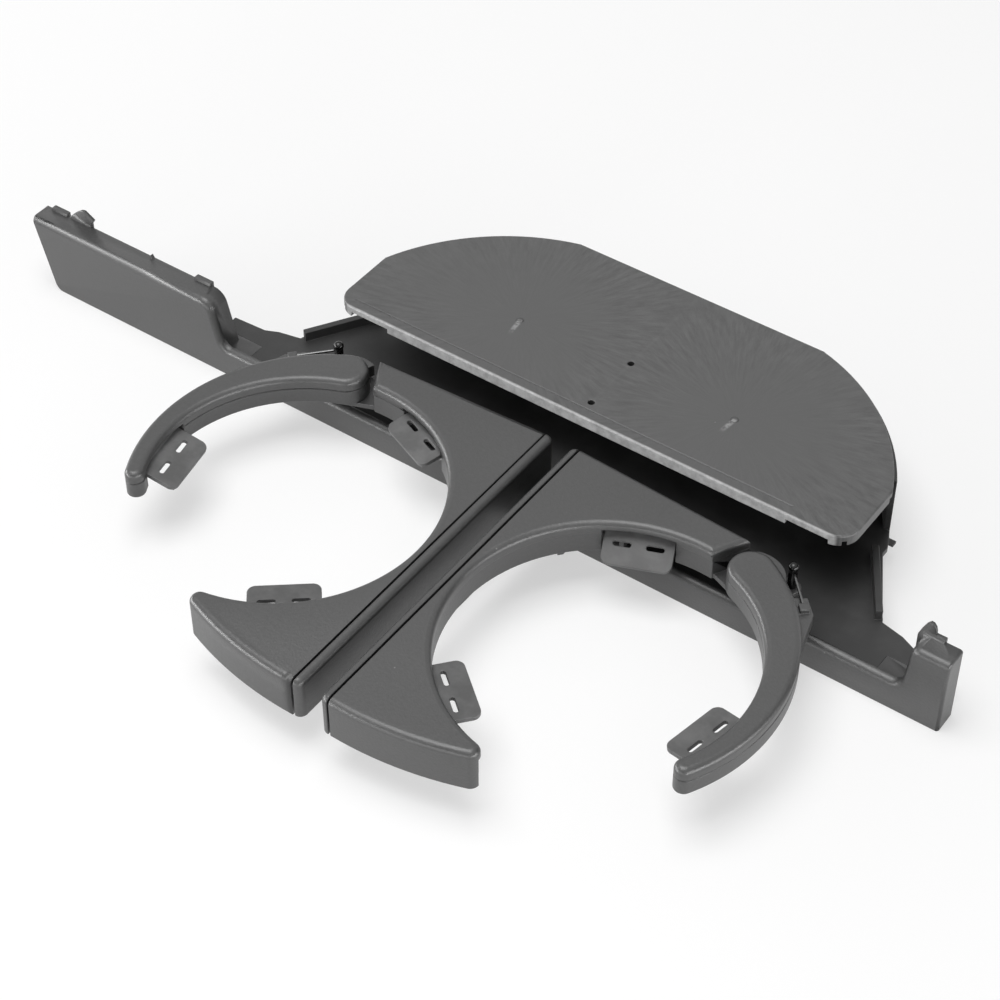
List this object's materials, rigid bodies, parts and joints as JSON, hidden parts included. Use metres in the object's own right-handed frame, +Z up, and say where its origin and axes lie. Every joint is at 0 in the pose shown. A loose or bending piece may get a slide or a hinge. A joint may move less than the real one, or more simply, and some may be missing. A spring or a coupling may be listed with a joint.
{
  "type": "car cup holder",
  "caption": "Dashboard cup holder: two wings swing out of a fascia opening, each with a folding arm and sprung flaps that grip a cup.",
  "frame": {"origin": "middle of the fascia opening, on the front face of the fascia at its lower edge", "axes": "+X along the fascia to the user's right, +Y back into the dashboard, +Z up"},
  "size_m": [0.3141, 0.183, 0.0297],
  "materials": {
    "grained_plastic": "fine moulded grain",
    "flap_plastic": "plain moulded",
    "cover_plastic": "as moulded, with flow streaks",
    "tray_plastic": "as moulded",
    "bright_steel": "plain wire and turned pins"
  },
  "bodies": {
    "housing": {"fascia": "grained_plastic", "tray": "tray_plastic", "cover": "cover_plastic", "swing_pin_right": "bright_steel", "swing_pin_left": "bright_steel"},
    "wing_right": {"wing_shell_right": "grained_plastic", "wing_base_right": "grained_plastic", "spine_right": "grained_plastic", "arm_pin_right": "bright_steel", "spring_post_right": "bright_steel"},
    "arm_right": {"arm_cap_right": "grained_plastic", "arm_base_right": "grained_plastic", "arm_spring_right": "bright_steel"},
    "flap_rear_right": {"flap_rear_right": "flap_plastic"},
    "flap_front_right": {"flap_front_right": "flap_plastic"},
    "flap_arm_right": {"flap_arm_right": "flap_plastic"},
    "wing_left": {"wing_shell_left": "grained_plastic", "wing_base_left": "grained_plastic", "spine_left": "grained_plastic", "arm_pin_left": "bright_steel", "spring_post_left": "bright_steel"},
    "arm_left": {"arm_cap_left": "grained_plastic", "arm_base_left": "grained_plastic", "arm_spring_left": "bright_steel"},
    "flap_rear_left": {"flap_rear_left": "flap_plastic"},
    "flap_front_left": {"flap_front_left": "flap_plastic"},
    "flap_arm_left": {"flap_arm_left": "flap_plastic"}
  },
  "joints": [
    {"name": "wing_swing_right", "type": "hinge", "parent": "housing", "child": "wing_right", "pos_m": [0.00825, 0.00525, 0.0117], "axis": [0, 0, 1], "range_deg": [0, 90]},
    {"name": "arm_fold_right", "type": "hinge", "parent": "wing_right", "child": "arm_right", "pos_m": [0.0675, 0.0015, 0.0164], "axis": [0, 0, -1], "range_deg": [0, 40.5]},
    {"name": "flap_rear_right_tilt", "type": "hinge", "parent": "wing_right", "child": "flap_rear_right", "pos_m": [0.03408, 0.00055, 0.0208], "axis": [-0.9252, -0.3795, 0], "range_deg": [-28, 38], "stiffness_Nm_per_rad": 0.01},
    {"name": "flap_front_right_tilt", "type": "hinge", "parent": "wing_right", "child": "flap_front_right", "pos_m": [0.02315, -0.08123, 0.0208], "axis": [0.7793, -0.6266, 0], "range_deg": [-58, 8], "stiffness_Nm_per_rad": 0.01},
    {"name": "flap_arm_right_tilt", "type": "hinge", "parent": "arm_right", "child": "flap_arm_right", "pos_m": [0.09269, -0.05209, 0.0208], "axis": [0.1942, 0.981, 0], "range_deg": [-52, 14], "stiffness_Nm_per_rad": 0.01},
    {"name": "wing_swing_left", "type": "hinge", "parent": "housing", "child": "wing_left", "pos_m": [-0.00825, 0.00525, 0.0117], "axis": [0, 0, -1], "range_deg": [0, 90]},
    {"name": "arm_fold_left", "type": "hinge", "parent": "wing_left", "child": "arm_left", "pos_m": [-0.0675, 0.0015, 0.0164], "axis": [0, 0, 1], "range_deg": [0, 40.5]},
    {"name": "flap_rear_left_tilt", "type": "hinge", "parent": "wing_left", "child": "flap_rear_left", "pos_m": [-0.03408, 0.00055, 0.0208], "axis": [-0.9252, 0.3795, 0], "range_deg": [-48, 18], "stiffness_Nm_per_rad": 0.01},
    {"name": "flap_front_left_tilt", "type": "hinge", "parent": "wing_left", "child": "flap_front_left", "pos_m": [-0.02315, -0.08123, 0.0208], "axis": [0.7793, 0.6266, 0], "range_deg": [-58, 8], "stiffness_Nm_per_rad": 0.01},
    {"name": "flap_arm_left_tilt", "type": "hinge", "parent": "arm_left", "child": "flap_arm_left", "pos_m": [-0.09269, -0.05209, 0.0208], "axis": [0.1942, -0.981, 0], "range_deg": [-42, 24], "stiffness_Nm_per_rad": 0.01}
  ],
  "couplings": [
    {"joint": "arm_fold_right", "follows": "wing_swing_right", "ratio": 0.45},
    {"joint": "arm_fold_left", "follows": "wing_swing_left", "ratio": 0.45}
  ]
}
